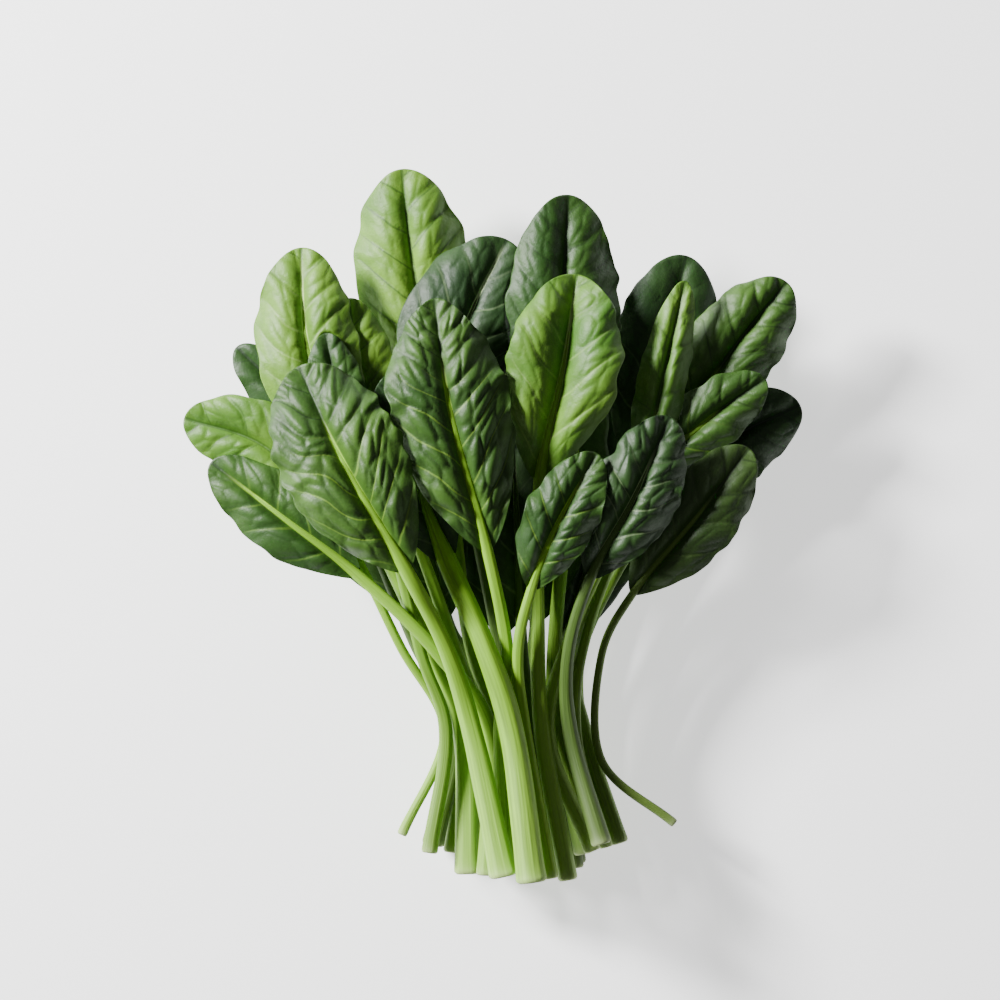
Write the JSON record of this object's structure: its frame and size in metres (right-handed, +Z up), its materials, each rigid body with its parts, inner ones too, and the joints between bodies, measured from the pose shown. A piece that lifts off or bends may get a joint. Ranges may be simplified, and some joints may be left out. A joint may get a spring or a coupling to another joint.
{
  "type": "spinach bunch",
  "caption": "Bunch of fresh spinach lying down: puckered green leaves fan out above pale stalks gathered at a narrow waist.",
  "frame": {"origin": "a small flat spot on the underside of the lowest stalk, under the waist of the bunch", "axes": "+Y from the cut ends towards the leaf tips, +Z up from the surface it lies on, +X to the right as seen from above"},
  "size_m": [0.2233, 0.2566, 0.0662],
  "materials": {
    "blade_deep": "satin",
    "blade_mid": "satin",
    "blade_pale": "satin",
    "blade_olive": "satin",
    "stalk_deep": "satin",
    "stalk_mid": "satin",
    "stalk_pale": "satin",
    "stalk_olive": "satin"
  },
  "bodies": {
    "root": {"blade_under_centre": "blade_deep", "stalk_under_centre": "stalk_deep", "blade_under_left": "blade_mid", "stalk_under_left": "stalk_mid", "blade_under_right": "blade_deep", "stalk_under_right": "stalk_deep", "blade_under_mid_left": "blade_deep", "stalk_under_mid_left": "stalk_deep", "blade_under_mid_right": "blade_mid", "stalk_under_mid_right": "stalk_mid", "blade_under_far_right": "blade_mid", "stalk_under_far_right": "stalk_mid", "blade_back_right": "blade_deep", "stalk_back_right": "stalk_deep", "blade_tall_left": "blade_pale", "stalk_tall_left": "stalk_pale", "blade_far_left_tip": "blade_deep", "stalk_far_left_tip": "stalk_deep", "blade_upper_right": "blade_mid", "stalk_upper_right": "stalk_mid", "blade_hidden_centre": "blade_deep", "stalk_hidden_centre": "stalk_deep", "blade_mid_left_folded": "blade_pale", "stalk_mid_left_folded": "stalk_pale", "blade_back_centre_wide": "blade_deep", "stalk_back_centre_wide": "stalk_deep", "blade_upper_left_pale": "blade_pale", "stalk_upper_left_pale": "stalk_pale", "blade_far_right": "blade_deep", "stalk_far_right": "stalk_deep", "blade_top_right": "blade_mid", "stalk_top_right": "stalk_mid", "blade_left_pale": "blade_pale", "stalk_left_pale": "stalk_pale", "blade_right_mid": "blade_mid", "stalk_right_mid": "stalk_mid", "blade_narrow_folded": "blade_pale", "stalk_narrow_folded": "stalk_pale", "blade_small_grey": "blade_mid", "stalk_small_grey": "stalk_mid", "blade_centre_bright": "blade_pale", "stalk_centre_bright": "stalk_pale", "blade_left_low": "blade_mid", "stalk_left_low": "stalk_mid", "blade_right_olive": "blade_olive", "stalk_right_olive": "stalk_olive", "blade_between_front": "blade_deep", "stalk_between_front": "stalk_deep", "blade_right_front": "blade_deep", "stalk_right_front": "stalk_deep", "blade_centre_front": "blade_mid", "stalk_centre_front": "stalk_mid", "blade_centre_small": "blade_mid", "stalk_centre_small": "stalk_mid", "blade_left_front": "blade_mid", "stalk_left_front": "stalk_mid"}
  },
  "joints": []
}
